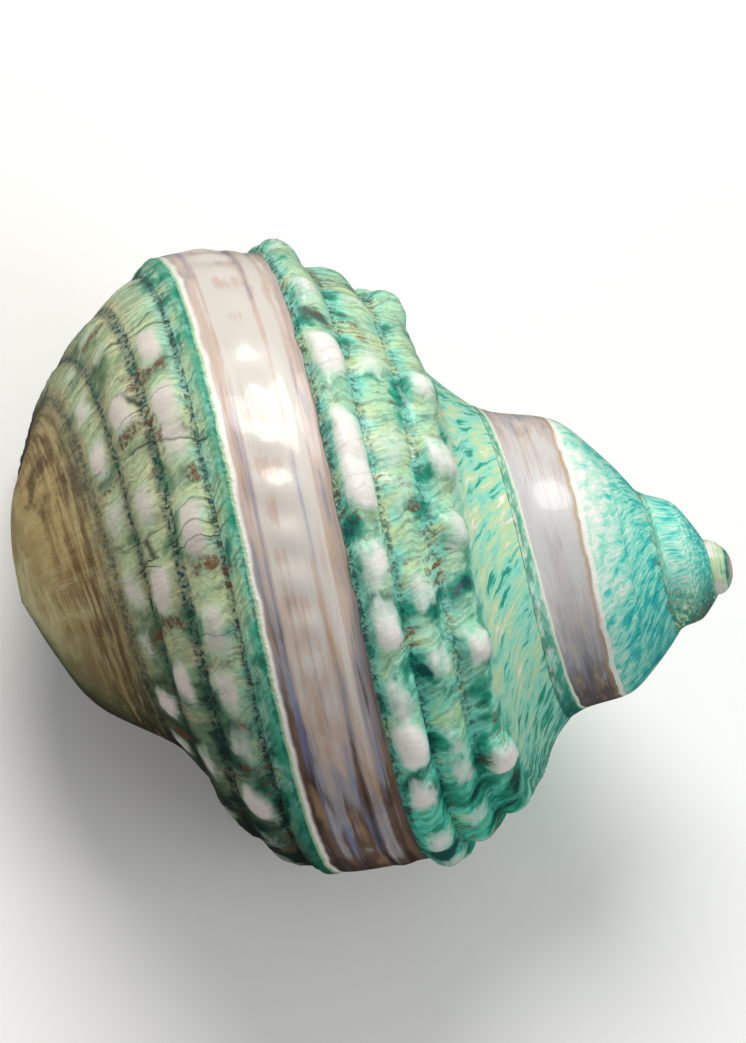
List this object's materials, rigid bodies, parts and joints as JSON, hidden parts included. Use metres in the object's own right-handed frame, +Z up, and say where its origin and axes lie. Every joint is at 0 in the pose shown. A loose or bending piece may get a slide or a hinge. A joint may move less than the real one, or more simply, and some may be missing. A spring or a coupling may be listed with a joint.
{
  "type": "polished turban shell",
  "caption": "Polished green turban sea shell with rows of pale knobs, a smooth pearl band round its last whorl and a low spire, lying mouth down as a loose ornament.",
  "frame": {"origin": "middle of the shell's bounding box, on the surface it lies on", "axes": "+Z up, +X from the base along the shell's axis towards the apex, seen from above; the mouth faces -Z"},
  "size_m": [0.0926, 0.0842, 0.0706],
  "materials": {
    "shell": "polished jade green outer layer with cream knob tops, and glossy pearl where a band was ground down to the nacre"
  },
  "bodies": {
    "root": {"shell": "shell"}
  },
  "joints": []
}
